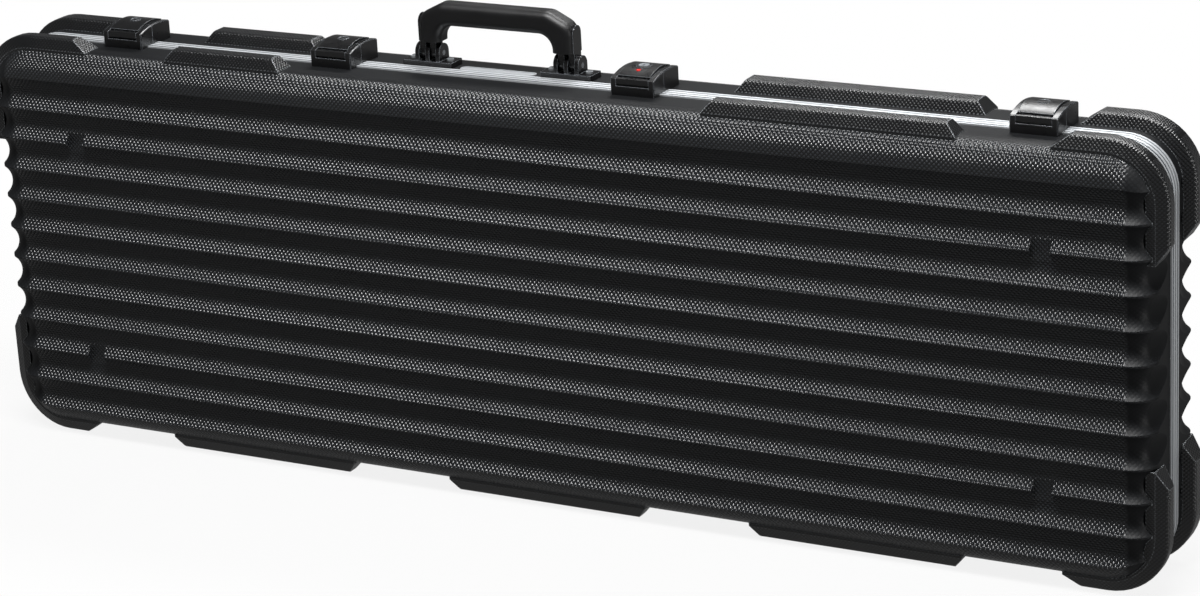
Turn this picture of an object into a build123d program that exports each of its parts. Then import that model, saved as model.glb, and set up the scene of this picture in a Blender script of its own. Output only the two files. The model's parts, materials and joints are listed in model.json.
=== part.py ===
from build123d import *
import math
import os

# Hard case for a bass guitar, standing on its long hinge side.
# X runs along the case, the lid faces -Y and +Z is up. Millimetres throughout.

# Shells
case_length = 1270.0
case_height = 412.0
lid_depth = 62.0
base_depth = 68.0
corner_radius = 48.0
edge_radius = 24.0
rim_wall = 3.5
face_wall = 3.0
rim_band_depth = 12.0

# Flutes moulded round the faces and ends
flute_count = 11
flute_pitch = 33.2
flute_radius = 20.8
flute_depth = 7.5
flute_runout_angle = 16.0
flute_fade = 17.0
first_crest_height = 17.5

# Stacking recesses, each a notch across one crest
recess_offset = 530.0
recess_width = 20.0
recess_depth = 6.6
recess_crests = (2, 9)

# Valance, the aluminium rim section of each half
seam_gap = 0.3
valance_width = 9.75
valance_proud = 1.5
valance_web = 4.6
valance_inner = 1.6
valance_groove_width = 1.2
valance_groove_depth = 0.5
tongue_thickness = 1.8
tongue_height = 2.4
tongue_inset = 1.1
tongue_clearance = 0.6

# Bumpers
bumper_height = 12.0
bumper_taper = 5.0
bumper_root = 9.0
bumper_round = 4.0
bumper_end_slope = 10.0
corner_end_slope = 18.0
trim_margin = 1.2
cut_margin = 1.0     # how far a cutting shape runs past the surface that it leaves
lid_bumper_inner = 26.0
lid_bumper_width = 24.0
base_bumper_inner = 24.0
base_bumper_width = 30.0
top_left_arm = 122.0
top_right_arm = 98.0
top_corner_drop = 102.0
bottom_arm = 90.0
bottom_corner_rise = 114.0
bottom_bumper_offset = 335.0
bottom_bumper_length = 222.0
short_bumper_gaps = (46.5, 20.5)    # from the first and second latch's sides
long_bumper_gaps = (62.5, 40.5)     # from the third and fourth latch's sides

# Hinges along the bottom of the seam
hinge_end_inset = 153.0
inner_hinge_offset = 163.0
hinge_length = 64.0
hinge_drop = 3.6
knuckle_count = 5
knuckle_radius = 3.2
knuckle_gap = 0.5
leaf_clearance = 0.5
hinge_pin_radius = 1.5
pin_clearance = 0.05
leaf_thickness = 1.6
leaf_reach = 22.0
joggle_gap = 0.3
pin_head_radius = 2.4
pin_head_length = 1.2
hinge_rivet_spacing = 44.0
hinge_rivet_offset = 17.0

# Rivets
rivet_radius = 1.6
rivet_head_radius = 3.0
rivet_head_height = 1.1

# Latches
latch_end_insets = (149.0, 125.0)
inner_latch_centres = (-234.0, 104.0)
keyed_latch = 3
latch_width = 47.0
cheek_thickness = 6.0
cheek_bevel = 0.9
latch_front = 20.5
latch_rear = 32.0
latch_crest_offset = 8.0
latch_gap = 0.4
latch_front_height = 16.6
latch_crest_height = 21.8
latch_rear_height = 19.0
latch_floor = 3.2
front_wall_height = 9.5
front_wall_thickness = 1.6
ledge_height = 1.4
ledge_proud = 0.5
rear_wall_height = 4.5
rear_wall_thickness = 1.5
lever_clearance = 0.4
lever_crown_height = 24.2
lever_front_height = 19.0
lever_front = 15.2
lever_plate = 6.0
lever_pivot_offset = 21.5
lever_pivot_height = 11.6
lever_boss_radius = 8.0
lever_barrel_radius = 10.8
lever_barrel_angle = 60.0
lever_pin_radius = 1.75
trigger_back = 16.2
trigger_front = 20.2
trigger_underside = 10.0
trigger_height = 17.3
trigger_round = 1.6
trigger_pin_offset = 12.9
trigger_pin_height = 15.0
trigger_pin_radius = 1.25
trigger_lug_width = 25.0
trigger_lug_radius = 2.6
trigger_lug_rise = 1.8
hook_width = 16.0
hook_thickness = 2.5
hook_tooth = 1.0
hook_reach = 1.7
striker_front = 10.6
striker_thickness = 3.0
striker_width = 20.0
striker_height = 8.0
lip_reach = 1.9
lip_thickness = 1.0
lip_gap = 0.25
latch_rivet_spacing = 20.0
latch_rivet_base = 25.0
latch_rivet_lid = 15.0

# Lock and marks on the latches
mark_offset = 6.0
mark_radius = 5.6
mark_width = 0.9
mark_height = 0.45
collar_radius = 7.6
collar_height = 0.5
lock_radius = 5.2
lock_clearance = 0.05
lock_depth = 4.0
keyway_length = 6.0
keyway_width = 1.2
keyway_depth = 2.5
dot_offset = -5.5
dot_radius = 2.2
dot_depth = 1.0
dot_height = 0.4

# Handle
handle_centre = -64.0
handle_offset = 23.0
bracket_length = 56.0
bracket_width = 23.0
bracket_thickness = 6.0
bracket_round = 2.0
ear_thickness = 4.4
ear_radius = 9.5
prong_thickness = 6.4
prong_clearance = 0.4
prong_radius = 6.8
handle_pivot_height = 13.5
handle_pin_radius = 2.5
handle_half_length = 86.0
handle_height = 66.0
handle_bar = 23.0
handle_width = 25.0
shoulder_length = 26.0
shoulder_height = 13.0
shoulder_round = 16.0
handle_inner_round = 15.0
grip_round = 8.0
grip_gap = 12.5
core_inset = 6.0
core_width = 13.0
strip_width = 17.0
strip_height = 53.0
strip_proud = 1.0
core_overlap = 1.6
screw_head_radius = 3.6
screw_head_height = 1.8
screw_shank_radius = 2.0
screw_inside = 2.0
screw_inset = 7.2
cross_width = 1.0
cross_length = 4.6
cross_depth = 1.0

# Blank name plate between the handle's brackets
plate_length = 84.0
plate_width = 12.0
plate_thickness = 1.4
plate_offset = 17.0
plate_frame = 1.4
plate_frame_depth = 0.5

# Padded liners and what they hold
liner_gap = 3.0
liner_seat = 0.3
liner_front_gap = 1.2
liner_floor = 11.0
lid_recess_depth = 22.0
lid_recess_growth = 6.0
body_length = 500.0
lower_bout_radius = 176.0
upper_bout_radius = 154.0
waist_height = 262.0
bass_start = -596.0
bass_end = 590.0
neck_slot_width = 78.0
head_length = 232.0
head_width = 150.0
slot_round = 18.0
compartment_start = 60.0
compartment_length = 250.0
compartment_height = 96.0
compartment_wall = 16.0
compartment_floor = 14.0
compartment_round = 10.0
cover_thickness = 5.0
cover_rebate = 8.0
cover_gap = 0.4
tab_length = 36.0
tab_width = 12.0
tab_thickness = 0.9
tab_inset = 22.0
neck_rest_start = 330.0
neck_rest_length = 24.0
neck_rest_height = 20.0
neck_rest_gap = 0.3
neck_rest_groove = 4.0

# Places that follow from the sizes above
lid_side = -1
base_side = 1
depth_of = {lid_side: lid_depth, base_side: base_depth}
bottom = bumper_height
top = bottom + case_height
middle = bottom + case_height / 2
half_length = case_length / 2
end_wall = flute_depth + face_wall
outer_hinge = half_length - hinge_end_inset
hinge_centres = (-outer_hinge, -inner_hinge_offset, inner_hinge_offset, outer_hinge)
latch_centres = (latch_end_insets[0] - half_length, *inner_latch_centres,
                 half_length - latch_end_insets[1])
seam = (lid_depth - base_depth) / 2
leaf_level = bottom - valance_proud - leaf_thickness
hinge_height = bottom - valance_proud - hinge_drop
latch_half = latch_width / 2
short_bumper_start = latch_centres[0] + latch_half + short_bumper_gaps[0]
short_bumper_end = latch_centres[1] - latch_half - short_bumper_gaps[1]
long_bumper_start = latch_centres[2] + latch_half + long_bumper_gaps[0]
long_bumper_end = latch_centres[3] - latch_half - long_bumper_gaps[1]
channel_half = latch_half - cheek_thickness
lever_half = channel_half - lever_clearance


def at_depth(side, distance):
    return seam + side * distance


def prism_x(face, start, end):
    return Pos(start, 0, 0) * extrude(Plane.YZ * face, amount=end - start)


def prism_y(sketch, near, far):
    low, high = min(near, far), max(near, far)
    plane = Plane(origin=(0, high, 0), x_dir=(1, 0, 0), z_dir=(0, -1, 0))
    return extrude(plane * sketch, amount=high - low)


def flat_face(*points):
    return make_face(Polyline(*points, close=True))


def block(x_range, y_range, z_range):
    sizes = [abs(high - low) for low, high in (x_range, y_range, z_range)]
    centre = [(low + high) / 2 for low, high in (x_range, y_range, z_range)]
    return Pos(*centre) * Box(*sizes)


def rod_x(radius, start, end, y, z):
    return Pos((start + end) / 2, y, z) * Rot(0, 90, 0) * Cylinder(radius, end - start)


def rod_z(radius, low, high, x, y):
    return Pos(x, y, (low + high) / 2) * Cylinder(radius, high - low)


def group(solids):
    return Compound(children=list(solids))


def outline(grow):
    shape = RectangleRounded(case_length + 2 * grow, case_height + 2 * grow, corner_radius + grow)
    return Pos(0, middle) * shape


def ring(side, outer, inner, near, far):
    solid = prism_y(outline(outer), at_depth(side, near), at_depth(side, far))
    return solid - prism_y(outline(inner), at_depth(side, near), at_depth(side, far))


# Shells

def flute_tool(side):
    angle = math.radians(flute_runout_angle)
    face_offset = flute_radius - flute_depth
    front = depth_of[side] + face_offset
    start = -valance_width / 2
    reach = half_length + flute_radius / math.cos(angle)
    outward = math.tan(angle)
    at_start = reach + (flute_fade + start) * outward
    at_front = reach + (flute_fade - front) * outward
    path = FilletPolyline(
        (-at_start, at_depth(side, -start)),
        (-at_front, at_depth(side, front)),
        (at_front, at_depth(side, front)),
        (at_start, at_depth(side, -start)),
        radius=edge_radius + face_offset,
    )
    section = Plane(origin=path @ 0, z_dir=path % 0) * Circle(flute_radius)
    return sweep(section, path)


def crest_height(number):
    return bottom + first_crest_height + number * flute_pitch


def stacking_recess(side, x, crest):
    depth = depth_of[side]
    height = crest_height(crest)
    notch = block(
        (x - recess_width / 2, x + recess_width / 2),
        (at_depth(side, depth - recess_depth), at_depth(side, depth + recess_depth)),
        (height - flute_pitch / 2, height + flute_pitch / 2),
    )
    return fillet(notch.edges().filter_by(Axis.Y), recess_width / 4)


def shell_form(side):
    depth = depth_of[side]
    form = prism_y(outline(0), at_depth(side, valance_web), at_depth(side, depth))
    face = form.faces().sort_by(Axis.Y)[-1 if side == base_side else 0]
    form = fillet(face.edges(), edge_radius)
    tool = flute_tool(side)
    cuts = [Pos(0, 0, crest_height(n) + flute_pitch / 2) * tool for n in range(flute_count)]
    cuts += [stacking_recess(side, x, crest)
             for x in (-recess_offset, recess_offset) for crest in recess_crests]
    return form - cuts


def inside_outline(grow):
    shape = RectangleRounded(
        case_length - 2 * (end_wall + grow),
        case_height - 2 * (rim_wall + grow),
        corner_radius - rim_wall - grow,
    )
    return Pos(0, middle) * shape


def hollow(side, near, grow=0.0, seat=0.0):
    far = at_depth(side, depth_of[side] - end_wall - seat)
    solid = prism_y(inside_outline(grow), at_depth(side, near), far)
    face = solid.faces().sort_by(Axis.Y)[-1 if side == base_side else 0]
    return fillet(face.edges(), edge_radius - rim_wall - grow)


def shell(side, form, holes):
    rim = prism_y(outline(-rim_wall), at_depth(side, 0), at_depth(side, rim_band_depth))
    return form - rim - hollow(side, rim_band_depth) - holes


# Valances

def valance(side):
    near = seam_gap / 2
    inner = -rim_wall - valance_inner
    body = ring(side, valance_proud, inner, near, valance_width)
    body -= ring(side, 0, -rim_wall, valance_web, valance_width)
    groove_end = valance_width - 2 * valance_groove_width
    groove_start = groove_end - valance_groove_width
    floor = valance_proud - valance_groove_depth
    body -= ring(side, valance_proud, floor, groove_start, groove_end)
    tongue_inner = tongue_inset + tongue_thickness
    if side == base_side:
        return body + ring(side, -tongue_inset, -tongue_inner, near - tongue_height, near)
    slot_outer = tongue_clearance - tongue_inset
    slot_inner = -tongue_inner - tongue_clearance
    depth = near + tongue_height + tongue_clearance
    return body - ring(side, slot_outer, slot_inner, near, depth)


# Bumpers

def bumper_section(side):
    inner = lid_bumper_inner if side == lid_side else base_bumper_inner
    width = lid_bumper_width if side == lid_side else base_bumper_width
    outer = inner + width
    section = flat_face(
        (inner, -bumper_root),
        (inner, 0),
        (inner + bumper_taper, bumper_height),
        (outer - bumper_taper, bumper_height),
        (outer, 0),
        (outer, -bumper_root),
    )
    return fillet(section.vertices().sort_by(Axis.Y)[-2:], bumper_round)


def across(side, sketch):
    return prism_y(sketch, at_depth(side, 0), at_depth(side, depth_of[side]))


def straight_bumper(side, centre, length, upward):
    half = length / 2
    edge, up = (top, 1) if upward else (bottom, -1)
    along = side * up
    plane = Plane(origin=(centre - along * half, seam, edge), x_dir=(0, side, 0),
                  z_dir=(along, 0, 0))
    bar = extrude(plane * bumper_section(side), amount=length)
    reach = trim_margin * bumper_height
    slope = trim_margin * bumper_end_slope
    trim = flat_face(
        (centre - half, edge - up * bumper_root),
        (centre - half, edge),
        (centre - half + slope, edge + up * reach),
        (centre + half - slope, edge + up * reach),
        (centre + half, edge),
        (centre + half, edge - up * bumper_root),
    )
    return bar & across(side, trim)


def corner_bumper(side, right, upward):
    out = 1 if right else -1
    edge, up = (top, 1) if upward else (bottom, -1)
    arm = bottom_arm
    if upward:
        arm = top_right_arm if right else top_left_arm
    rise = top_corner_drop if upward else bottom_corner_rise
    end = out * half_length
    arm_x = end - out * arm
    arm_z = edge - up * rise
    path = FilletPolyline((arm_x, seam, edge), (end, seam, edge), (end, seam, arm_z),
                          radius=corner_radius)
    plane = Plane(origin=path @ 0, x_dir=(0, side, 0), z_dir=path % 0)
    section = bumper_section(side)
    if plane.y_dir.Z * up < 0:
        section = mirror(section, about=Plane.XZ)
    swept = sweep(plane * section, path)
    reach = trim_margin * bumper_height
    slope = trim_margin * corner_end_slope
    trim = flat_face(
        (arm_x, edge - up * bumper_root),
        (arm_x, edge),
        (arm_x + out * slope, edge + up * reach),
        (end + out * reach, edge + up * reach),
        (end + out * reach, arm_z + up * slope),
        (end, arm_z),
        (end - out * bumper_root, arm_z),
        (end - out * bumper_root, edge - up * corner_radius),
        (end - out * corner_radius, edge - up * bumper_root),
    )
    return swept & across(side, trim)


def bottom_bumpers(side):
    centres = (-bottom_bumper_offset, 0, bottom_bumper_offset)
    return [straight_bumper(side, x, bottom_bumper_length, False) for x in centres]


def top_bumpers(side):
    spans = ((short_bumper_start, short_bumper_end), (long_bumper_start, long_bumper_end))
    return [straight_bumper(side, (start + end) / 2, end - start, True) for start, end in spans]


def corner_bumpers(side):
    return [corner_bumper(side, right, upward)
            for right in (False, True) for upward in (False, True)]


# Hinges

def knuckle_spans(centre, own):
    length = (hinge_length - (knuckle_count - 1) * knuckle_gap) / knuckle_count
    first = centre - hinge_length / 2
    starts = [first + n * (length + knuckle_gap) for n in range(own, knuckle_count, 2)]
    return [(start, start + length) for start in starts]


def hinge_leaf(side, centre):
    own = 0 if side == base_side else 1
    step = valance_width + joggle_gap
    face = flat_face(
        (at_depth(side, seam_gap / 2), leaf_level),
        (at_depth(side, seam_gap / 2), leaf_level + leaf_thickness),
        (at_depth(side, step), leaf_level + leaf_thickness),
        (at_depth(side, step), bottom),
        (at_depth(side, leaf_reach), bottom),
        (at_depth(side, leaf_reach), bottom - leaf_thickness),
        (at_depth(side, step + 2 * valance_proud), bottom - leaf_thickness),
        (at_depth(side, step + valance_proud / 2), leaf_level),
    )
    leaf = prism_x(face, centre - hinge_length / 2, centre + hinge_length / 2)
    for start, end in knuckle_spans(centre, 1 - own):
        leaf -= rod_x(knuckle_radius + leaf_clearance, start - knuckle_gap,
                      end + knuckle_gap, seam, hinge_height)
    for start, end in knuckle_spans(centre, own):
        leaf += rod_x(knuckle_radius, start, end, seam, hinge_height)
    bore = rod_x(hinge_pin_radius + pin_clearance, centre - hinge_length, centre + hinge_length,
                 seam, hinge_height)
    return leaf - bore - hinge_rivets(side, centre)


def hinge_pin(centre):
    half = hinge_length / 2
    pin = rod_x(hinge_pin_radius, centre - half, centre + half, seam, hinge_height)
    pin += rod_x(pin_head_radius, centre - half - pin_head_length, centre - half,
                 seam, hinge_height)
    return pin + rod_x(pin_head_radius, centre + half, centre + half + pin_head_length,
                       seam, hinge_height)


def rivet(x, y, low, high, low_head, high_head):
    body = rod_z(rivet_radius, low, high, x, y)
    if low_head:
        body += rod_z(rivet_head_radius, low - rivet_head_height, low, x, y)
    if high_head:
        body += rod_z(rivet_head_radius, high, high + rivet_head_height, x, y)
    return body


def hinge_rivets(side, centre):
    y = at_depth(side, hinge_rivet_offset)
    half = hinge_rivet_spacing / 2
    return [rivet(centre + shift, y, bottom - leaf_thickness, bottom + rim_wall, True, True)
            for shift in (-half, half)]


# Latches, in offsets from the seam and heights above the top of the shell

def latch_point(offset, height):
    return seam + offset, top + height


def latch_face(*points):
    return flat_face(*[latch_point(*point) for point in points])


def arched_face(start, crest, end, rest):
    arc = ThreePointArc(latch_point(*start), latch_point(*crest), latch_point(*end))
    corners = [latch_point(*end)] + [latch_point(*point) for point in rest]
    return make_face([*arc.edges(), *Polyline(*corners, latch_point(*start)).edges()])


def latch_rod(radius, centre, half, offset, height):
    y, z = latch_point(offset, height)
    return rod_x(radius, centre - half, centre + half, y, z)


def latch_block(centre, half, offsets, heights):
    y_range = [seam + offset for offset in offsets]
    z_range = [top + height for height in heights]
    return block((centre - half, centre + half), y_range, z_range)


def latch_body(centre):
    profile = arched_face(
        (-latch_front, latch_front_height),
        (latch_crest_offset, latch_crest_height),
        (latch_rear, latch_rear_height),
        [(latch_rear, 0), (-latch_front, 0)],
    )
    corners = [v for v in profile.vertices() if v.Y > top + latch_floor]
    profile = fillet(corners, trigger_round)
    body = prism_x(profile, centre - latch_half, centre + latch_half)
    sides = body.faces().sort_by(Axis.X)
    rims = [e for face in (sides[0], sides[-1]) for e in face.edges()
            if e.center().Z > top + latch_floor]
    body = chamfer(rims, cheek_bevel)
    ends = (-latch_front - cut_margin, latch_rear + cut_margin)
    body -= latch_block(centre, channel_half, ends, (latch_floor, latch_crest_height + cut_margin))
    wall = (-latch_front, front_wall_thickness - latch_front)
    body += latch_block(centre, channel_half, wall, (latch_floor, front_wall_height))
    ledge = (-latch_front - ledge_proud, front_wall_thickness - latch_front)
    body += latch_block(centre, channel_half, ledge,
                        (front_wall_height - ledge_height, front_wall_height))
    wall = (latch_rear - rear_wall_thickness, latch_rear)
    body += latch_block(centre, channel_half, wall, (latch_floor, rear_wall_height))
    under = valance_width + joggle_gap
    return body - latch_block(centre, latch_width, (-under, under), (-cut_margin, valance_proud))


def latch_half_of(side, body, centre):
    half = latch_gap / 2
    reach = max(latch_front, latch_rear) * 2
    kept = latch_block(centre, latch_width, (side * half, side * reach),
                       (-cut_margin, 2 * latch_rear))
    return body & kept


def keeper(body, centre):
    front = latch_half_of(lid_side, body, centre)
    half = striker_width / 2
    post = latch_block(centre, half, (-striker_front, striker_thickness - striker_front),
                       (latch_floor, striker_height))
    lip = latch_block(centre, half, (-striker_front - lip_reach, -striker_front),
                      (striker_height - lip_thickness, striker_height))
    return front + post + lip - latch_rivets(lid_side, centre)


def housing(body, centre):
    rear = latch_half_of(base_side, body, centre)
    bore = latch_rod(lever_pin_radius + pin_clearance, centre - cheek_bevel, latch_half,
                     lever_pivot_offset, lever_pivot_height)
    return rear - bore - latch_rivets(base_side, centre)


def latch_rivets(side, centre):
    offset = latch_rivet_base if side == base_side else latch_rivet_lid
    half = latch_rivet_spacing / 2
    return [rivet(centre + shift, at_depth(side, offset), top - rim_wall, top + latch_floor,
                  True, False) for shift in (-half, half)]


def pivot_pin(centre):
    return latch_rod(lever_pin_radius, centre - cheek_bevel, latch_half,
                     lever_pivot_offset, lever_pivot_height)


def barrel_point(radius):
    angle = math.radians(lever_barrel_angle)
    return (lever_pivot_offset + radius * math.cos(angle),
            lever_pivot_height + radius * math.sin(angle))


def crown_height(offset):
    ends = (-lever_front, lever_front_height), barrel_point(lever_barrel_radius)
    crest = (latch_crest_offset, lever_crown_height)
    arc = ThreePointArc(ends[0], crest, ends[1])
    centre = arc.arc_center
    return centre.Y + math.sqrt(arc.radius ** 2 - (offset - centre.X) ** 2)


def lever_form(centre):
    pivot = (lever_pivot_offset, lever_pivot_height)
    heel = (lever_pivot_offset - lever_boss_radius, lever_pivot_height)
    plate = arched_face(
        (-lever_front, lever_front_height),
        (latch_crest_offset, lever_crown_height),
        barrel_point(lever_barrel_radius),
        [pivot, heel, (heel[0], crown_height(heel[0]) - lever_plate),
         (0, crown_height(0) - lever_plate),
         (-lever_front, lever_front_height - lever_plate)],
    )
    form = prism_x(plate, centre - lever_half, centre + lever_half)
    return form + latch_rod(lever_boss_radius, centre, lever_half, *pivot)


def lever(centre, keyed):
    form = lever_form(centre)
    form -= latch_rod(lever_pin_radius + pin_clearance, centre, latch_width,
                      lever_pivot_offset, lever_pivot_height)
    form -= latch_rod(trigger_pin_radius + pin_clearance, centre, latch_width,
                      -trigger_pin_offset, trigger_pin_height)
    slot_end = trigger_lug_radius + lever_clearance - trigger_pin_offset
    form -= latch_block(
        centre, trigger_lug_width / 2 + lever_clearance, (-lever_front - cut_margin, slot_end),
        (0, trigger_pin_height + trigger_lug_radius + lever_clearance),
    )
    if not keyed:
        return form + mark_ring(centre)
    y = seam + mark_offset
    crown = top + crown_height(mark_offset)
    form += rod_z(collar_radius, crown - lever_plate / 2, crown + collar_height, centre, y)
    form -= rod_z(lock_radius + lock_clearance, crown - lock_depth, crown + lever_plate, centre, y)
    return form - dot_seat(centre, pin_clearance)


def mark_ring(centre):
    y = seam + mark_offset
    crown = top + crown_height(mark_offset)
    body = rod_z(mark_radius, crown - lever_plate / 2, crown + mark_height, centre, y)
    return body - rod_z(mark_radius - mark_width, crown - lever_plate, crown + lever_plate,
                        centre, y)


def dot_seat(centre, clearance=0.0):
    crown = top + crown_height(dot_offset)
    return rod_z(dot_radius + clearance, crown - dot_depth, crown + dot_height,
                 centre, seam + dot_offset)


def lock_plug(centre):
    y = seam + mark_offset
    crown = top + crown_height(mark_offset)
    face = crown + collar_height
    plug = rod_z(lock_radius, crown - lock_depth, face, centre, y)
    half = keyway_length / 2
    return plug - block((centre - keyway_width / 2, centre + keyway_width / 2),
                        (y - half, y + half), (face - keyway_depth, face + cut_margin))


def trigger_pin(centre):
    return latch_rod(trigger_pin_radius, centre, lever_half, -trigger_pin_offset,
                     trigger_pin_height)


def trigger(centre):
    bar = prism_x(
        latch_face((-trigger_front, trigger_underside), (-trigger_front, trigger_height),
                   (-trigger_back, trigger_height), (-trigger_back, trigger_underside)),
        centre - lever_half, centre + lever_half,
    )
    bar = fillet(bar.edges().filter_by(Axis.X), trigger_round)
    lug = trigger_lug_width / 2
    low = trigger_pin_height - trigger_lug_radius
    bar += latch_block(centre, lug, (-trigger_back - trigger_round, -trigger_pin_offset),
                       (low, trigger_pin_height + trigger_lug_rise))
    bar += latch_rod(trigger_lug_radius, centre, lug, -trigger_pin_offset, trigger_pin_height)
    tooth_top = striker_height - lip_thickness - lip_gap
    hook = hook_width / 2
    leg = (-trigger_pin_offset - hook_thickness, -trigger_pin_offset)
    bar += latch_block(centre, hook, leg, (tooth_top - hook_tooth, trigger_pin_height))
    bar += latch_block(centre, hook, (leg[0], leg[1] + hook_reach),
                       (tooth_top - hook_tooth, tooth_top))
    return bar - latch_rod(trigger_pin_radius + pin_clearance, centre, latch_width,
                           -trigger_pin_offset, trigger_pin_height)


# Handle

def handle_profile(inset):
    outer = handle_half_length - inset
    crown = top + handle_height - inset
    foot = top + handle_pivot_height + grip_gap
    shape = flat_face(
        (-outer, foot),
        (-outer, crown - shoulder_height),
        (shoulder_length - outer, crown),
        (outer - shoulder_length, crown),
        (outer, crown - shoulder_height),
        (outer, foot),
    )
    shape = fillet([v for v in shape.vertices() if v.Y > foot + cut_margin], shoulder_round)
    opening = handle_half_length - handle_bar + inset
    ceiling = top + handle_height - handle_bar + inset
    round_over = handle_inner_round + inset
    gap = Pos(0, ceiling - handle_height) * RectangleRounded(2 * opening, 2 * handle_height,
                                                            round_over)
    return Pos(handle_centre, 0) * (shape - gap)


def handle_y():
    return seam + handle_offset


def strip(side):
    foot = top + handle_pivot_height + grip_gap
    outer = handle_centre + side * (handle_half_length + strip_proud)
    inner = outer - side * (prong_thickness + core_overlap)
    half = strip_width / 2
    body = block((inner, outer), (handle_y() - half, handle_y() + half),
                 (foot, top + strip_height - half))
    return body + rod_x(half, min(inner, outer), max(inner, outer), handle_y(),
                        top + strip_height - half)


def prong_centres(side):
    outer = side * (handle_half_length + strip_proud - prong_thickness / 2)
    pitch = prong_thickness + ear_thickness + 2 * prong_clearance
    return [handle_centre + outer, handle_centre + outer - side * pitch]


def bracket_x(side):
    return sum(prong_centres(side)) / 2


def handle_core():
    core = prism_y(handle_profile(core_inset), handle_y() - core_width / 2,
                   handle_y() + core_width / 2)
    pivot = top + handle_pivot_height
    for side in (-1, 1):
        core += strip(side)
        for x in prong_centres(side):
            half = prong_thickness / 2
            core += block((x - half, x + half), (handle_y() - prong_radius,
                          handle_y() + prong_radius), (pivot, pivot + grip_gap + core_overlap))
            core += rod_x(prong_radius, x - half, x + half, handle_y(), pivot)
        reach = 2 * bracket_length
        core -= rod_x(handle_pin_radius + pin_clearance, bracket_x(side) - reach / 2,
                      bracket_x(side) + reach / 2, handle_y(), pivot)
    return core


def handle_grip(core):
    grip = prism_y(handle_profile(0), handle_y() - handle_width / 2,
                   handle_y() + handle_width / 2)
    foot = top + handle_pivot_height + grip_gap
    sides = grip.faces().sort_by(Axis.Y)
    rims = [e for face in (sides[0], sides[-1]) for e in face.edges()
            if e.center().Z > foot + cut_margin]
    return fillet(rims, grip_round) - core


def bracket(side):
    centre = bracket_x(side)
    half = bracket_width / 2
    plate = block((centre - bracket_length / 2, centre + bracket_length / 2),
                  (handle_y() - half, handle_y() + half), (top, top + bracket_thickness))
    plate = fillet(plate.edges().filter_by(Axis.Z), bracket_round)
    pivot = top + handle_pivot_height
    pitch = prong_thickness + ear_thickness + 2 * prong_clearance
    for step in (-1, 0, 1):
        x = centre + step * pitch
        start, end = x - ear_thickness / 2, x + ear_thickness / 2
        plate += rod_x(ear_radius, start, end, handle_y(), pivot)
        plate += block((start, end), (handle_y() - ear_radius, handle_y() + ear_radius),
                       (top + bracket_thickness / 2, pivot))
    reach = pitch + ear_thickness
    plate -= rod_x(handle_pin_radius + pin_clearance, centre - reach, centre + reach,
                   handle_y(), pivot)
    return plate - handle_screws(side)


def handle_pin(side):
    pitch = prong_thickness + ear_thickness + 2 * prong_clearance
    reach = pitch + ear_thickness / 2
    return rod_x(handle_pin_radius, bracket_x(side) - reach, bracket_x(side) + reach,
                 handle_y(), top + handle_pivot_height)


def handle_screws(side):
    seat = top + bracket_thickness
    screws = []
    for end in (-1, 1):
        x = bracket_x(side) + end * (bracket_length / 2 - screw_inset)
        head = seat + screw_head_height
        screw = rod_z(screw_shank_radius, top - rim_wall - screw_inside, seat, x, handle_y())
        screw += rod_z(screw_head_radius, seat, head, x, handle_y())
        for long, wide in ((cross_length, cross_width), (cross_width, cross_length)):
            screw -= block((x - long / 2, x + long / 2),
                           (handle_y() - wide / 2, handle_y() + wide / 2),
                           (head - cross_depth, head + cut_margin))
        screws.append(screw)
    return screws


def nameplate():
    plane = Plane(origin=(handle_centre, at_depth(base_side, plate_offset), top))
    plate_round = (plate_width - plate_frame) / 2
    shape = RectangleRounded(plate_length, plate_width, plate_round)
    inner = RectangleRounded(plate_length - 2 * plate_frame, plate_width - 2 * plate_frame,
                             plate_round - plate_frame)
    plate = extrude(plane * shape, amount=plate_thickness)
    window = extrude(plane * inner, amount=plate_frame_depth)
    return plate - Pos(0, 0, plate_thickness - plate_frame_depth) * window


# Liners

def bass_outline(grow=0.0):
    lower = Pos(bass_start + lower_bout_radius, middle) * Circle(lower_bout_radius + grow)
    upper_x = bass_start + body_length - upper_bout_radius
    upper = Pos(upper_x, middle) * Circle(upper_bout_radius + grow)
    waist_x = (bass_start + lower_bout_radius + upper_x) / 2
    waist = Pos(waist_x, middle) * Rectangle(upper_x - waist_x, waist_height + 2 * grow)
    neck_length = bass_end - upper_x
    neck = Pos(upper_x + neck_length / 2, middle) * Rectangle(
        neck_length, neck_slot_width + 2 * grow)
    head = Pos(bass_end - head_length / 2, middle) * RectangleRounded(
        head_length + 2 * grow, head_width + 2 * grow, slot_round)
    shape = lower + upper + waist + neck + head
    joins = [v for v in shape.vertices() if v.X < bass_end - head_length - grow - cut_margin]
    return fillet(joins, slot_round)


def compartment_centre():
    return (compartment_start + compartment_length / 2,
            middle + neck_slot_width / 2 + compartment_wall + compartment_height / 2)


def compartment(near, far, grow):
    x, z = compartment_centre()
    shape = Pos(x, z) * RectangleRounded(
        compartment_length + 2 * grow, compartment_height + 2 * grow,
        compartment_round + max(grow, 0))
    return prism_y(shape, at_depth(base_side, near), at_depth(base_side, far))


def base_liner():
    body = hollow(base_side, liner_front_gap, liner_gap, liner_seat)
    floor = base_depth - end_wall - liner_seat - liner_floor
    body -= prism_y(bass_outline(), at_depth(base_side, 0), at_depth(base_side, floor))
    seat = liner_front_gap + cover_thickness
    body -= compartment(0, seat, cover_rebate)
    deep = base_depth - end_wall - liner_seat - compartment_floor
    return body - compartment(0, deep, 0)


def compartment_cover():
    return compartment(liner_front_gap, liner_front_gap + cover_thickness,
                       cover_rebate - cover_gap)


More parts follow.
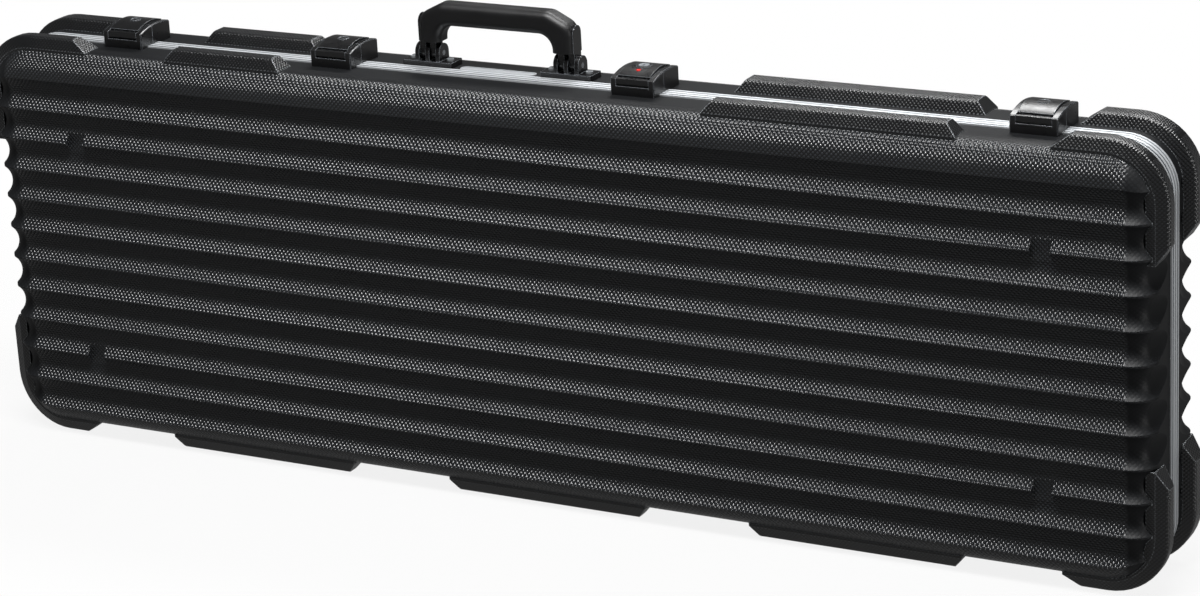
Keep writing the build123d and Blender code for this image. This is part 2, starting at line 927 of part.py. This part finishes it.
def compartment_tab():
    x, z = compartment_centre()
    edge = x + compartment_length / 2 - tab_inset
    return block((edge - tab_length, edge), (at_depth(base_side, liner_front_gap - tab_thickness),
                 at_depth(base_side, liner_front_gap)), (z - tab_width / 2, z + tab_width / 2))


def neck_rest():
    floor = base_depth - end_wall - liner_seat - liner_floor - neck_rest_gap
    half = neck_slot_width / 2 - neck_rest_gap
    x_range = (neck_rest_start, neck_rest_start + neck_rest_length)
    rest = block(x_range, (at_depth(base_side, floor - neck_rest_height),
                 at_depth(base_side, floor)), (middle - half, middle + half))
    radius = (half ** 2 + neck_rest_groove ** 2) / (2 * neck_rest_groove)
    return rest - rod_x(radius, *x_range, at_depth(
        base_side, floor - neck_rest_height - radius + neck_rest_groove), middle)


def lid_liner():
    body = hollow(lid_side, liner_front_gap, liner_gap, liner_seat)
    recess = prism_y(bass_outline(lid_recess_growth), at_depth(lid_side, 0),
                     at_depth(lid_side, liner_front_gap + lid_recess_depth))
    return body - recess


# Every piece, under the name of its part

def fixings_through(side):
    screws = [rivet for x in hinge_centres for rivet in hinge_rivets(side, x)]
    screws += [rivet for x in latch_centres for rivet in latch_rivets(side, x)]
    if side == base_side:
        screws += [screw for end in (-1, 1) for screw in handle_screws(end)]
    return screws


def case_half(side, name):
    form = shell_form(side)
    parts = {
        f"{name}_shell": shell(side, form, fixings_through(side)),
        f"{name}_valance": valance(side),
        f"{name}_corner_bumpers": group(b - form for b in corner_bumpers(side)),
        f"{name}_bottom_bumpers": group(b - form for b in bottom_bumpers(side)),
        f"{name}_top_bumpers": group(b - form for b in top_bumpers(side)),
        f"{name}_hinge_rivets": group(r for x in hinge_centres for r in hinge_rivets(side, x)),
        f"{name}_latch_rivets": group(r for x in latch_centres for r in latch_rivets(side, x)),
    }
    for number, x in enumerate(hinge_centres, 1):
        parts[f"hinge_{number}_{name}_leaf"] = hinge_leaf(side, x)
    return parts


def latch_parts(number, centre):
    body = latch_body(centre)
    return {
        f"latch_{number}_housing": housing(body, centre),
        f"latch_{number}_keeper": keeper(body, centre),
        f"latch_{number}_lever": lever(centre, number == keyed_latch),
        f"latch_{number}_trigger": trigger(centre),
        f"latch_{number}_trigger_pin": trigger_pin(centre),
    }


def handle_parts():
    core = handle_core()
    return {
        "handle_core": core,
        "handle_grip": handle_grip(core),
        "handle_bracket_left": bracket(-1),
        "handle_bracket_right": bracket(1),
        "handle_pins": group(handle_pin(side) for side in (-1, 1)),
        "handle_screws": group(s for side in (-1, 1) for s in handle_screws(side)),
        "nameplate": nameplate(),
    }


def all_parts():
    parts = case_half(base_side, "base") | case_half(lid_side, "lid")
    parts["hinge_pins"] = group(hinge_pin(x) for x in hinge_centres)
    parts["latch_pivot_pins"] = group(pivot_pin(x) for x in latch_centres)
    for number, centre in enumerate(latch_centres, 1):
        parts |= latch_parts(number, centre)
    keyed_centre = latch_centres[keyed_latch - 1]
    parts["lock_plug"] = lock_plug(keyed_centre)
    parts["lock_dot"] = dot_seat(keyed_centre)
    parts |= handle_parts()
    parts["base_liner"] = base_liner()
    parts["lid_liner"] = lid_liner()
    parts["compartment_cover"] = compartment_cover()
    parts["compartment_tab"] = compartment_tab()
    parts["neck_rest"] = neck_rest()
    return parts


os.makedirs("parts", exist_ok=True)
for part_name, shape in all_parts().items():
    export_step(shape, f"parts/{part_name}.step")
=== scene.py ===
import bpy
import json
import math
from mathutils import Matrix, Vector


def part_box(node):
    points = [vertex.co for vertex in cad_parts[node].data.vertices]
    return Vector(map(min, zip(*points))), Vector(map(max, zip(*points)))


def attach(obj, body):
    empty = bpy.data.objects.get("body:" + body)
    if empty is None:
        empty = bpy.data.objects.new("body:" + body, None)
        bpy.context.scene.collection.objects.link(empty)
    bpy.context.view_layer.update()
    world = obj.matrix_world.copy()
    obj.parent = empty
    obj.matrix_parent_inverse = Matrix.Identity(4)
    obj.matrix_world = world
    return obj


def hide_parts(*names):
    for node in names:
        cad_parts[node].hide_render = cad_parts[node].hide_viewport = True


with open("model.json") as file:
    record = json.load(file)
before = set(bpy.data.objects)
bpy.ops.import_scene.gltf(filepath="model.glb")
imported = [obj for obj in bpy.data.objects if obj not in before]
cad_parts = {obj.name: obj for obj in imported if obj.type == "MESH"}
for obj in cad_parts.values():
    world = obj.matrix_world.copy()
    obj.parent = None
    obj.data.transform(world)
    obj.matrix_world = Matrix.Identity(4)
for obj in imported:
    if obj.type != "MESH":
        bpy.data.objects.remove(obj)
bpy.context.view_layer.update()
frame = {"nodes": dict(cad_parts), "record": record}
nodes = frame["nodes"]
print("frame loaded:", len(nodes), "parts")

# the case stands on its hinge side; x runs along it, the lid faces -y, lengths in metres
millimetre = 0.001
seamPlane = -3 * millimetre
shellBottom = 12 * millimetre


def linearColour(hexCode):
    # sRGB hex to the linear values that the shaders expect
    def channel(value):
        return value / 12.92 if value <= 0.04045 else ((value + 0.055) / 1.055) ** 2.4
    return tuple(channel(int(hexCode[i:i + 2], 16) / 255) for i in (1, 3, 5)) + (1.0,)


def addNode(tree, kind, inputs=None, **settings):
    # one node with its settings; an input takes a value or another node's output
    node = tree.nodes.new(kind)
    for name, value in settings.items():
        setattr(node, name, value)
    for socket, value in (inputs or {}).items():
        if isinstance(value, bpy.types.NodeSocket):
            tree.links.new(value, node.inputs[socket])
        else:
            node.inputs[socket].default_value = value
    return node


def calc(tree, operation, first, second=0.0):
    return addNode(tree, "ShaderNodeMath", {0: first, 1: second}, operation=operation).outputs[0]


def ramp(tree, value, low, high, toLow=0.0, toHigh=1.0):
    inputs = {"Value": value, "From Min": low, "From Max": high, "To Min": toLow, "To Max": toHigh}
    return addNode(tree, "ShaderNodeMapRange", inputs, clamp=True).outputs[0]


def choose(tree, switch, whenOff, whenOn):
    return addNode(tree, "ShaderNodeMix", {0: switch, 2: whenOff, 3: whenOn}).outputs[0]


def blendColours(tree, factor, first, second):
    # each colour is a hex code or another node's output
    ends = [linearColour(end) if isinstance(end, str) else end for end in (first, second)]
    inputs = {0: factor, 6: ends[0], 7: ends[1]}
    return addNode(tree, "ShaderNodeMix", inputs, data_type="RGBA").outputs[2]


def relief(tree, height, distance, strength=1.0, normal=None, **settings):
    # a raised surface that only the light sees
    inputs = {"Height": height, "Distance": distance, "Strength": strength}
    if normal is not None:
        inputs["Normal"] = normal
    return addNode(tree, "ShaderNodeBump", inputs, **settings).outputs[0]


def speckle(tree, place, size, detail=2.0):
    inputs = {"Vector": place, "Scale": 1 / size, "Detail": detail}
    return addNode(tree, "ShaderNodeTexNoise", inputs).outputs["Fac"]


def ownFrame(tree, name):
    # Object is the position and Normal the surface's direction, both in the part's own frame,
    # so that a finish follows a moving part
    return addNode(tree, "ShaderNodeTexCoord").outputs[name]


def axesOf(tree, vector):
    return addNode(tree, "ShaderNodeSeparateXYZ", {0: vector}).outputs


def newMaterial(name, **shader):
    material = bpy.data.materials.new(name)
    material.use_nodes = True
    bsdf = material.node_tree.nodes["Principled BSDF"]
    for socket, value in shader.items():
        bsdf.inputs[socket.replace("_", " ")].default_value = value
    return material, material.node_tree, bsdf


def feed(tree, bsdf, **sources):
    # inputs of the shader, each from another node's output
    for socket, source in sources.items():
        tree.links.new(source, bsdf.inputs[socket.replace("_", " ")])


endFacing = 0.72            # turned this much towards x, a face counts as an end of the case
topFacing = 0.8             # turned this much towards z, as its top or bottom
edgeTurn = (0.995, 0.9)     # cosine between face and softened edge where the painted edge highlight starts and is full


def wovenEmboss(tree, place, facing, spacing):
    # two sets of diagonal lines pressed into the mould, so each crossing leaves a small lozenge
    acrossEnd = calc(tree, "GREATER_THAN", calc(tree, "ABSOLUTE", facing[0]), endFacing)
    onTop = calc(tree, "GREATER_THAN", calc(tree, "ABSOLUTE", facing[2]), topFacing)
    along = choose(tree, acrossEnd, place[0], place[1])
    upward = choose(tree, onTop, place[2], place[1])
    turn = math.pi / spacing
    plus = calc(tree, "MULTIPLY", calc(tree, "ADD", along, upward), turn)
    minus = calc(tree, "MULTIPLY", calc(tree, "SUBTRACT", along, upward), turn)
    ridges = [calc(tree, "ABSOLUTE", calc(tree, "SINE", angle)) for angle in (plus, minus)]
    return calc(tree, "MULTIPLY", *ridges)


def softEdgesAndPaintedHighlight(tree, radius):
    # how near a sharp edge is, from the angle between the real face and a softened one; the painted
    # highlight along edges follows it
    softened = addNode(tree, "ShaderNodeBevel", {"Radius": radius}, samples=4).outputs[0]
    face = addNode(tree, "ShaderNodeNewGeometry").outputs["Normal"]
    turned = addNode(tree, "ShaderNodeVectorMath", {0: softened, 1: face}, operation="DOT_PRODUCT")
    return softened, ramp(tree, turned.outputs["Value"], *edgeTurn)


# shells
shellFinish = {
    "colour": "#0b0c0d",
    "sheenColour": "#101113",
    "grooveShadeColour": "#030303",
    "ridgeHighlightColour": "#222427",
    "edgeHighlightColour": "#2c2e31",
    "edgeRadius": 1.0 * millimetre,
    "flatEdgeHighlight": 0.15,                   # painted edge highlight between the lozenges, as a share of the full one
    "weaveSpacing": 4.6 * millimetre,   # the real lozenges are about 2 mm; coarser so that they show
    "weaveDepth": 0.8 * millimetre,
    "ridgeEnds": (0.1, 0.6),            # heights at which a lozenge leaves the painted groove shade and its painted highlight is full
    "smoothBand": 45 * millimetre,      # plain strip on each side of the seam
    "bandFade": 2 * millimetre,
    "wovenLength": 1214 * millimetre,
    "endFade": 5 * millimetre,
    "endWeave": 0.12,                   # how much of the weave is left past its ends
    "grain": 0.9 * millimetre,
    "grainShare": 0.05,
    "patch": 60 * millimetre,
    "polish": 0.03,
    "smoothRoughness": 0.55,
    "wovenRoughness": 0.28,
    "smoothSpecular": 0.16,
    "wovenSpecular": 0.55,
}


def mouldedAbs(name, finish):
    # moulded ABS, satin black: dark body, soft highlights that the pressed weave breaks into glints
    material, tree, bsdf = newMaterial(name, IOR=1.46)
    position = ownFrame(tree, "Object")
    place = axesOf(tree, position)
    facing = axesOf(tree, ownFrame(tree, "Normal"))
    band = finish["smoothBand"]
    fromSeam = calc(tree, "ABSOLUTE", calc(tree, "SUBTRACT", place[1], seamPlane))
    beyondBand = ramp(tree, fromSeam, band, band + finish["bandFade"])
    half = finish["wovenLength"] / 2
    fromMiddle = calc(tree, "ABSOLUTE", place[0])
    inside = ramp(tree, fromMiddle, half, half + finish["endFade"], 1.0, finish["endWeave"])
    woven = calc(tree, "MULTIPLY", beyondBand, inside)
    emboss = wovenEmboss(tree, place, facing, finish["weaveSpacing"])
    grain = calc(tree, "MULTIPLY", speckle(tree, position, finish["grain"]), finish["grainShare"])
    height = calc(tree, "ADD", calc(tree, "MULTIPLY", emboss, woven), grain)
    softened, edge = softEdgesAndPaintedHighlight(tree, finish["edgeRadius"])
    patches = speckle(tree, position, finish["patch"], 4.0)
    plain = blendColours(tree, patches, finish["colour"], finish["sheenColour"])
    # painted shade in the grooves of the weave and painted highlight on the lozenge tops
    lozenge = blendColours(tree, ramp(tree, emboss, *finish["ridgeEnds"]),
                           finish["grooveShadeColour"], finish["ridgeHighlightColour"])
    tinted = blendColours(tree, woven, plain, lozenge)
    # painted highlight along the sharp edges, brighter on the lozenges than between them
    wear = calc(tree, "MULTIPLY", edge, calc(tree, "ADD", emboss, finish["flatEdgeHighlight"]))
    polish = ramp(tree, patches, 0.3, 0.7, -finish["polish"], finish["polish"])
    roughness = choose(tree, woven, finish["smoothRoughness"], finish["wovenRoughness"])
    feed(tree, bsdf,
         Normal=relief(tree, height, finish["weaveDepth"], normal=softened),
         Base_Color=blendColours(tree, wear, tinted, finish["edgeHighlightColour"]),
         Roughness=calc(tree, "ADD", polish, roughness),
         Specular_IOR_Level=choose(tree, woven, finish["smoothSpecular"], finish["wovenSpecular"]))
    return material


# bumpers, the same plastic with a finer weave all over, darker, with brighter painted highlights along
# the edges
bumperFinish = {
    **shellFinish,
    "colour": "#08090a",
    "sheenColour": "#0c0d0e",
    "grooveShadeColour": "#020202",
    "ridgeHighlightColour": "#131416",
    "edgeHighlightColour": "#909498",
    "edgeRadius": 1.6 * millimetre,
    "weaveSpacing": 4.0 * millimetre,
    "weaveDepth": 0.36 * millimetre,
    "smoothBand": 0.0,
    "wovenLength": 1600 * millimetre,
    "grain": 0.7 * millimetre,
}

# valance
valanceFinish = {
    "colour": "#cfd2d5",
    "shadeColour": "#5b5f63",
    "ribSpacing": 5.6 * millimetre,
    "ribDepth": 0.5 * millimetre,
    "grooveEnds": (0.25, 0.8),          # where the painted shade of the groove between ribs starts and is full
    "lineSpacing": 0.55 * millimetre,   # the real draw lines are about 0.1 mm; drawn coarser
    "lineDepth": 0.02 * millimetre,
    "lineShade": 0.9,
    "lineRoughness": (0.36, 0.52),
}


def anodisedAluminium(name, finish):
    # extruded and clear anodised: bright satin metal with straight draw lines along the rim
    material, tree, bsdf = newMaterial(name, Metallic=0.75)
    depth = axesOf(tree, ownFrame(tree, "Object"))[1]
    across = calc(tree, "DIVIDE", depth, finish["lineSpacing"])
    lines = addNode(tree, "ShaderNodeTexNoise", {"W": across, "Scale": 1.0, "Detail": 3.0},
                    noise_dimensions="1D").outputs["Fac"]
    turn = 2 * math.pi / finish["ribSpacing"]
    fromSeam = calc(tree, "SUBTRACT", depth, seamPlane)
    wave = calc(tree, "COSINE", calc(tree, "MULTIPLY", fromSeam, turn))
    groove = ramp(tree, wave, *finish["grooveEnds"])
    drawn = relief(tree, lines, finish["lineDepth"])
    # painted shade in the grooves between ribs, times a slight tone along the draw lines
    shade = calc(tree, "MULTIPLY", ramp(tree, lines, 0.25, 0.75, finish["lineShade"], 1.0),
                 calc(tree, "SUBTRACT", 1.0, groove))
    feed(tree, bsdf,
         Normal=relief(tree, groove, finish["ribDepth"], normal=drawn, invert=True),
         Base_Color=blendColours(tree, shade, finish["shadeColour"], finish["colour"]),
         Roughness=ramp(tree, lines, 0.3, 0.7, *finish["lineRoughness"]))
    return material


# latches, brackets and the handle's core
nylonFinish = {
    "colour": "#060607",
    "edgeHighlightColour": "#6f7378",
    "edgeRadius": 0.6 * millimetre,
    "grain": 0.35 * millimetre,
    "grainDepth": 0.03 * millimetre,
    "wear": 9 * millimetre,
}


def mouldedNylon(name, finish, roughness):
    # glass-filled nylon: black, tighter highlights than the shell's, edges painted pale and bright as
    # highlights
    material, tree, bsdf = newMaterial(name, IOR=1.53)
    position = ownFrame(tree, "Object")
    softened, edge = softEdgesAndPaintedHighlight(tree, finish["edgeRadius"])
    grain = speckle(tree, position, finish["grain"], 3.0)
    wear = speckle(tree, position, finish["wear"], 4.0)
    # the base colour carries a painted highlight along the sharp edges
    feed(tree, bsdf,
         Base_Color=blendColours(tree, edge, finish["colour"], finish["edgeHighlightColour"]),
         Normal=relief(tree, grain, finish["grainDepth"], 0.6, softened),
         Roughness=ramp(tree, wear, 0.3, 0.7, roughness * 0.85, roughness * 1.2))
    return material


# grip
gripFinish = {
    "colour": "#070708",
    "grain": 0.5 * millimetre,
    "grainDepth": 0.12 * millimetre,
    "wear": 25 * millimetre,
}


def mouldedRubber(name, finish):
    # thermoplastic elastomer: matt, only the broadest highlight shows, with a fine leathery grain
    material, tree, bsdf = newMaterial(name, IOR=1.5, Specular_IOR_Level=0.35,
                                       Base_Color=linearColour(finish["colour"]))
    position = ownFrame(tree, "Object")
    cells = addNode(tree, "ShaderNodeTexVoronoi", {"Vector": position, "Scale": 1 / finish["grain"]})
    worn = speckle(tree, position, finish["wear"], 3.0)
    feed(tree, bsdf,
         Normal=relief(tree, cells.outputs["Distance"], finish["grainDepth"], 0.5),
         Roughness=ramp(tree, worn, 0.35, 0.7, 0.4, 0.5))
    return material


# metals
streakDepth = 0.02 * millimetre
streakStretch = (0.05, 1.0, 1.0)


def drawnMetal(name, hexCode, roughness, streak, metallic=1.0):
    # drawn or brushed metal: fine streaks that stretch the highlight
    material, tree, bsdf = newMaterial(name, Metallic=metallic, Base_Color=linearColour(hexCode))
    stretched = addNode(tree, "ShaderNodeMapping",
                        {"Vector": ownFrame(tree, "Object"), "Scale": streakStretch})
    lines = speckle(tree, stretched.outputs[0], streak, 3.0)
    feed(tree, bsdf,
         Roughness=ramp(tree, lines, 0.3, 0.7, roughness * 0.7, roughness * 1.3),
         Normal=relief(tree, lines, streakDepth, 0.5))
    return material


def glossEnamel(name, hexCode, cloudCode):
    # stoved enamel: deep red under a clear gloss
    material, tree, bsdf = newMaterial(name, Roughness=0.25, IOR=1.5, Coat_Weight=0.6,
                                       Coat_Roughness=0.08)
    cloud = speckle(tree, ownFrame(tree, "Object"), 1.2 * millimetre)
    feed(tree, bsdf, Base_Color=blendColours(tree, cloud, hexCode, cloudCode))
    return material


# plush lining
plushFinish = {
    "colour": "#17181b",
    "tip": "#2b2d33",
    "tuft": 1.6 * millimetre,
    "tuftShare": 0.6,
    "lay": 45 * millimetre,
    "pile": 0.7 * millimetre,
}


def shortPilePlush(name, finish):
    # short-pile polyester plush on foam: its tips catch light at a slant, so edges look paler
    material, tree, bsdf = newMaterial(name, Roughness=0.95, IOR=1.45, Sheen_Weight=0.5,
                                       Sheen_Roughness=0.4)
    position = ownFrame(tree, "Object")
    share = finish["tuftShare"]
    tufts = speckle(tree, position, finish["tuft"], 4.0)
    lay = speckle(tree, position, finish["lay"], 3.0)
    mixed = calc(tree, "ADD", calc(tree, "MULTIPLY", tufts, share),
                 calc(tree, "MULTIPLY", lay, 1 - share))
    tips = ramp(tree, mixed, 0.35, 0.65)
    feed(tree, bsdf,
         Base_Color=blendColours(tree, tips, finish["colour"], finish["tip"]),
         Normal=relief(tree, tufts, finish["pile"], 0.8))
    return material


def wovenTape(name, hexCode, thread):
    # polyester webbing: crossed threads in a plain weave
    material, tree, bsdf = newMaterial(name, Roughness=0.8, Base_Color=linearColour(hexCode))
    place = axesOf(tree, ownFrame(tree, "Object"))
    turn = math.pi / thread
    warp = calc(tree, "SINE", calc(tree, "MULTIPLY", place[0], turn))
    weft = calc(tree, "SINE", calc(tree, "MULTIPLY", place[2], turn))
    height = calc(tree, "MULTIPLY", warp, weft)
    feed(tree, bsdf, Normal=relief(tree, height, 0.2 * millimetre))
    return material


materialOf = {
    "shell_plastic": mouldedAbs("mouldedAbs", shellFinish),
    "bumper_plastic": mouldedAbs("mouldedAbsBumper", bumperFinish),
    "valance_aluminium": anodisedAluminium("anodisedAluminium", valanceFinish),
    "latch_nylon": mouldedNylon("glassFilledNylon", nylonFinish, 0.3),
    "steel_pins": drawnMetal("drawnSteel", "#9c9fa3", 0.3, 0.3 * millimetre),
    "hinge_steel": drawnMetal("zincPlatedSteel", "#a9acb0", 0.38, 0.4 * millimetre),
    "rivet_aluminium": drawnMetal("rivetAluminium", "#b4b7ba", 0.34, 0.3 * millimetre),
    "lock_metal": drawnMetal("darkPlatedZinc", "#85898d", 0.36, 0.25 * millimetre, 0.6),
    "red_enamel": glossEnamel("stovedEnamel", "#c01616", "#e0352f"),
    "handle_nylon": mouldedNylon("glassFilledNylonHandle", nylonFinish, 0.22),
    "grip_rubber": mouldedRubber("mouldedElastomer", gripFinish),
    "black_screws": drawnMetal("blackZincSteel", "#8d9093", 0.32, 0.3 * millimetre, 0.6),
    "plate_aluminium": drawnMetal("brushedAluminiumPlate", "#a6a9ac", 0.42, 0.35 * millimetre, 0.7),
    "plush_lining": shortPilePlush("shortPilePlush", plushFinish),
    "tab_webbing": wovenTape("polyesterTape", "#1b1c1e", 1.4 * millimetre),
}

# padded lining: the CAD solids give its space, and these stand in for them with soft edges
softCell = 4.5 * millimetre
smoothing = 0.5
liningPieces = {
    "baseLining": {"node": "base_liner", "body": "base", "passes": 8, "fill": 0.8},
    "lidLining": {"node": "lid_liner", "body": "lid", "passes": 8, "fill": 0.8},
}
cushions = {
    "compartmentLid": {"node": "compartment_cover", "body": "base", "shrink": 1.8 * millimetre,
                       "passes": 6, "pressure": 4, "frames": 20, "fill": 0.7},
    "neckCushion": {"node": "neck_rest", "body": "base", "shrink": 3.0 * millimetre,
                    "passes": 6, "pressure": 4, "frames": 20, "fill": 0.7},
}


def applied(piece):
    # the mesh as its modifiers leave it, put back without them
    graph = bpy.context.evaluated_depsgraph_get()
    mesh = bpy.data.meshes.new_from_object(piece.evaluated_get(graph))
    piece.modifiers.clear()
    piece.data = mesh
    return piece


def softCopy(name, node, cell):
    piece = bpy.data.objects.new(name, nodes[node].data.copy())
    bpy.context.scene.collection.objects.link(piece)
    remesh = piece.modifiers.new("evenMesh", "REMESH")
    remesh.mode = "VOXEL"
    remesh.voxel_size = cell
    return piece


def softenEdges(piece, passes):
    smooth = piece.modifiers.new("softEdges", "SMOOTH")
    smooth.factor = smoothing
    smooth.iterations = passes


def finishSoft(piece, settings):
    for face in piece.data.polygons:
        face.use_smooth = True
    piece.data.materials.clear()
    piece.data.materials.append(materialOf["plush_lining"])
    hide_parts(settings["node"])
    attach(piece, settings["body"])


def padLining(name, settings):
    # foam blocks glued in the shell: only their edges round over
    piece = softCopy(name, settings["node"], softCell)
    softenEdges(piece, settings["passes"])
    finishSoft(applied(piece), settings)


def inflate(piece, settings):
    # air pressure crowns the cover, and no point goes further than the space left by the shrinking
    start = [vertex.co.copy() for vertex in piece.data.vertices]
    cloth = piece.modifiers.new("cloth", "CLOTH")
    cloth.settings.use_pressure = True
    cloth.settings.uniform_pressure_force = settings["pressure"]
    cloth.settings.effector_weights.gravity = 0
    for step in range(1, settings["frames"] + 1):
        bpy.context.scene.frame_set(step)
    applied(piece)
    for vertex, rest in zip(piece.data.vertices, start):
        move = vertex.co - rest
        if move.length > settings["shrink"]:
            vertex.co = rest + move.normalized() * settings["shrink"]
    bpy.context.scene.frame_set(1)


def stuffCushion(name, settings):
    # a sewn cover on foam: it starts small and is inflated inside the solid's space
    piece = softCopy(name, settings["node"], softCell)
    shrink = piece.modifiers.new("shrink", "DISPLACE")
    shrink.strength = -settings["shrink"]
    shrink.mid_level = 0
    softenEdges(piece, settings["passes"])
    applied(piece)
    inflate(piece, settings)
    subdivide = piece.modifiers.new("finer", "SUBSURF")
    subdivide.levels = 1
    finishSoft(applied(piece), settings)


# pull tab: a short strap of webbing sewn flat at both ends, its middle slack enough for a finger
tabSettings = {
    "node": "compartment_tab",
    "body": "base",
    "thickness": 0.6 * millimetre,
    "sewn": 0.2,                        # share of the length sewn down at each end
    "steps": 16,
}


def tabSection(x, back, low, high, thick):
    # one slice across the strap: flat faces and pointed selvedges
    edge = thick / 2
    front = back - thick
    return [(x, back, low.z + edge), (x, back - edge, low.z), (x, front, low.z + edge),
            (x, front, high.z - edge), (x, back - edge, high.z), (x, back, high.z - edge)]


def sewPullTab(name, settings):
    low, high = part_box(settings["node"])
    thick = settings["thickness"]
    slack = high.y - low.y - thick
    vertices = []
    for step in range(settings["steps"] + 1):
        share = step / settings["steps"]
        free = (share - settings["sewn"]) / (1 - 2 * settings["sewn"])
        lift = slack * math.sin(math.pi * min(max(free, 0), 1)) ** 2
        x = low.x + share * (high.x - low.x)
        section = tabSection(x, high.y - lift, low, high, thick)
        vertices += section
    sides = len(section)
    last = len(vertices) - sides
    faces = [tuple(range(sides)), tuple(reversed(range(last, len(vertices))))]
    for ring in range(0, last, sides):
        for side in range(sides):
            after = (side + 1) % sides
            faces.append((ring + side, ring + sides + side, ring + sides + after, ring + after))
    mesh = bpy.data.meshes.new(name)
    mesh.from_pydata(vertices, [], faces)
    mesh.validate()
    mesh.materials.append(materialOf["tab_webbing"])
    piece = bpy.data.objects.new(name, mesh)
    bpy.context.scene.collection.objects.link(piece)
    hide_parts(settings["node"])
    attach(piece, settings["body"])


slotOf = {row["node"]: row["material_slot"] for row in frame["record"]["subparts"]}
for name, part in nodes.items():
    part.data.materials.clear()
    part.data.materials.append(materialOf[slotOf[name]])
print("materials assigned:", len(materialOf))

for name, settings in liningPieces.items():
    padLining(name, settings)
for name, settings in cushions.items():
    stuffCushion(name, settings)
sewPullTab("pullTab", tabSettings)
print("soft pieces:", len(liningPieces) + len(cushions) + 1)

# camera at the photo's angle: the lens, place and turns come from matching the photo's corners
cameraSettings = {
    "lens": 105.53,
    "sensor": 36,
    "yaw": 28.87,
    "pitch": 18.99,
    "roll": 3.045,
    "toObject": (-30.594, 3542.985, -179.894),    # right, forward and up from the camera, in mm
    "clipEnd": 50,
}


def makeCamera(settings):
    turn = Matrix.Rotation(math.radians(settings["yaw"]), 3, "Z")
    turn = turn @ Matrix.Rotation(math.radians(90 - settings["pitch"]), 3, "X")
    turn = turn @ Matrix.Rotation(-math.radians(settings["roll"]), 3, "Z")
    right, forward, up = settings["toObject"]
    offset = turn @ Vector((right, up, -forward)) * millimetre
    place = Vector((0, seamPlane, shellBottom)) - offset
    data = bpy.data.cameras.new("camera")
    data.lens = settings["lens"]
    data.sensor_width = settings["sensor"]
    data.clip_end = settings["clipEnd"]
    camera = bpy.data.objects.new("camera", data)
    camera.matrix_world = Matrix.Translation(place) @ turn.to_4x4()
    bpy.context.scene.collection.objects.link(camera)
    bpy.context.scene.camera = camera


makeCamera(cameraSettings)

# studio: a thin pale floor, surroundings that are white to the camera and dim in reflections, soft boxes
floorSettings = {"size": 6.0, "fadeStart": 0.5, "fadeEnd": 1.3, "cover": 0.14, "colour": "#a8a8a8"}
surroundings = {"seen": 1.0, "low": 0.3, "high": 0.1, "lowEnd": -0.15, "highEnd": 0.25}
softBoxes = {
    "overheadBox": {"place": (0.3, -0.75, 2.6), "aim": (0, 0, 0.25), "size": (1.8, 0.45), "watts": 150},
    "backBox": {"place": (0.2, 1.3, 2.3), "aim": (0, 0, 0.3), "size": (1.8, 0.5), "watts": 60},
    "sideBox": {"place": (2.9, -0.5, 0.5), "aim": (0.6, 0, 0.25), "size": (0.3, 1.2), "watts": 22},
}


def makeSoftBox(name, box):
    data = bpy.data.lights.new(name, "AREA")
    data.shape = "RECTANGLE"
    data.size, data.size_y = box["size"]
    data.energy = box["watts"]
    lamp = bpy.data.objects.new(name, data)
    lamp.location = box["place"]
    beam = Vector(box["aim"]) - Vector(box["place"])
    lamp.rotation_euler = beam.to_track_quat("-Z", "Y").to_euler()
    bpy.context.scene.collection.objects.link(lamp)


def makeFloor(settings):
    # it keeps the shadow near the case and fades out into the white
    bpy.ops.mesh.primitive_plane_add(size=settings["size"], location=(0, 0, 0))
    floor = bpy.context.object
    floor.name = "floor"
    material = bpy.data.materials.new("paintedFloor")
    material.use_nodes = True
    tree = material.node_tree
    tree.nodes.clear()
    away = addNode(tree, "ShaderNodeVectorMath", {0: ownFrame(tree, "Object")}, operation="LENGTH")
    cover = ramp(tree, away.outputs["Value"], settings["fadeStart"], settings["fadeEnd"],
                 settings["cover"], 0.0)
    clear = addNode(tree, "ShaderNodeBsdfTransparent")
    paint = addNode(tree, "ShaderNodeBsdfDiffuse", {"Color": linearColour(settings["colour"])})
    mix = addNode(tree, "ShaderNodeMixShader", {0: cover, 1: clear.outputs[0], 2: paint.outputs[0]})
    addNode(tree, "ShaderNodeOutputMaterial", {"Surface": mix.outputs[0]})
    floor.data.materials.append(material)
    # no reflection of the floor in the black plastic
    floor.visible_glossy = False


def makeSurroundings(settings):
    world = bpy.data.worlds.new("surroundings")
    world.use_nodes = True
    tree = world.node_tree
    tree.nodes.clear()
    height = axesOf(tree, addNode(tree, "ShaderNodeTexCoord").outputs["Generated"])[2]
    around = ramp(tree, height, settings["lowEnd"], settings["highEnd"],
                  settings["low"], settings["high"])
    path = addNode(tree, "ShaderNodeLightPath").outputs
    plain = calc(tree, "MAXIMUM", path["Is Camera Ray"], path["Is Transmission Ray"])
    strength = choose(tree, plain, around, settings["seen"])
    background = addNode(tree, "ShaderNodeBackground", {"Color": (1, 1, 1, 1), "Strength": strength})
    addNode(tree, "ShaderNodeOutputWorld", {"Surface": background.outputs[0]})
    bpy.context.scene.world = world


for name, box in softBoxes.items():
    makeSoftBox(name, box)
makeFloor(floorSettings)
makeSurroundings(surroundings)
bpy.context.scene.view_settings.view_transform = "Standard"
print("studio ready")
